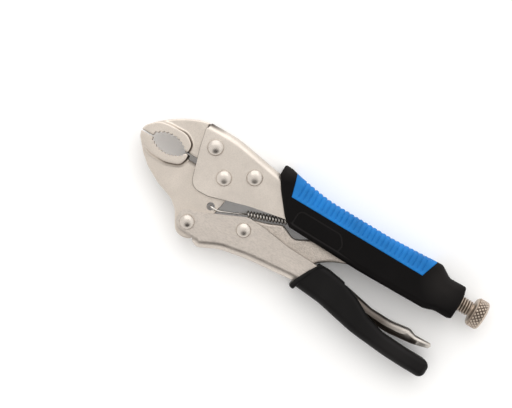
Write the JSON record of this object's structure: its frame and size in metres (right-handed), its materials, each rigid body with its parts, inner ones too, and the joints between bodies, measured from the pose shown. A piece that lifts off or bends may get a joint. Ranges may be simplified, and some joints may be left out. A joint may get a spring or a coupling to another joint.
{
  "type": "locking pliers",
  "caption": "Curved-jaw locking pliers: pressed frame, riveted jaws, over-centre toggle link, adjusting screw with knob, release lever and moulded grips",
  "frame": {"origin": "centre of the tool's bounding box in plan, on the flat it lies on", "axes": "+X runs back from the jaw tip to the adjusting knob along the adjusting screw's axis, +Y runs up to the back of the fixed handle, +Z is the direction of every pivot and points up as the tool lies on its side"},
  "size_m": [0.18, 0.0536, 0.0172],
  "materials": {
    "pressed_steel": "satin nickel plating over pressed sheet",
    "forged_steel": "satin nickel plating over a forging",
    "cast_link_steel": "fine grainy nickel plating",
    "rivet_steel": "smooth satin nickel",
    "turned_steel": "turned and nickel plated",
    "spring_steel": "dark drawn wire",
    "bright_steel": "bright plated",
    "black_grip": "satin black moulding",
    "black_sleeve": "satin black moulding",
    "blue_inlay": "satin blue soft moulding"
  },
  "bodies": {
    "frame": {"upper_frame": "pressed_steel", "fixed_jaw": "forged_steel", "jaw_rivet_front": "rivet_steel", "jaw_rivet_rear": "rivet_steel", "jaw_pivot_rivet": "rivet_steel", "spring_anchor_pin": "rivet_steel", "threaded_bush": "turned_steel", "upper_grip": "black_grip", "upper_grip_inlay": "blue_inlay", "return_spring": "spring_steel"},
    "jaw": {"movable_jaw": "forged_steel"},
    "handle": {"lower_handle": "pressed_steel", "lower_grip_sleeve": "black_sleeve", "handle_pivot_rivet": "rivet_steel", "link_pivot_rivet": "rivet_steel", "lever_pivot_pin": "rivet_steel"},
    "link": {"toggle_link": "cast_link_steel"},
    "lever": {"release_lever": "bright_steel"},
    "screw": {"adjusting_screw": "turned_steel"},
    "knob": {"screw_knob": "turned_steel"}
  },
  "joints": [
    {"name": "jaw_hinge", "type": "hinge", "parent": "frame", "child": "jaw", "pos_m": [-0.046, 0.0067, 0.0086], "axis": [0, 0, 1], "range_deg": [0, 24.02], "deforming": ["return_spring"]},
    {"name": "handle_hinge", "type": "hinge", "parent": "jaw", "child": "handle", "pos_m": [-0.0502, -0.0191, 0.0086], "axis": [0, 0, 1], "range_deg": [-65.04, 0]},
    {"name": "link_hinge", "type": "hinge", "parent": "handle", "child": "link", "pos_m": [-0.026, -0.0091, 0.0086], "axis": [0, 0, 1], "range_deg": [0, 64.61]},
    {"name": "lever_hinge", "type": "hinge", "parent": "handle", "child": "lever", "pos_m": [0.0195, -0.0101, 0.0086], "axis": [0, 0, 1], "range_deg": [-6, 0]},
    {"name": "screw_travel", "type": "slide", "parent": "frame", "child": "screw", "axis": [1, 0, 0], "range_m": [0, 0.0156]},
    {"name": "knob_spin", "type": "hinge", "parent": "screw", "child": "knob", "pos_m": [0.086, 0.0134, 0.0086], "axis": [1, 0, 0], "range_deg": [0, 4322]}
  ],
  "couplings": [
    {"joint": "jaw_hinge", "follows": "handle_hinge", "ratio": -0.369},
    {"joint": "link_hinge", "follows": "handle_hinge", "ratio": -0.99262},
    {"joint": "knob_spin", "follows": "screw_travel", "rad_per_m": 4833.2}
  ]
}
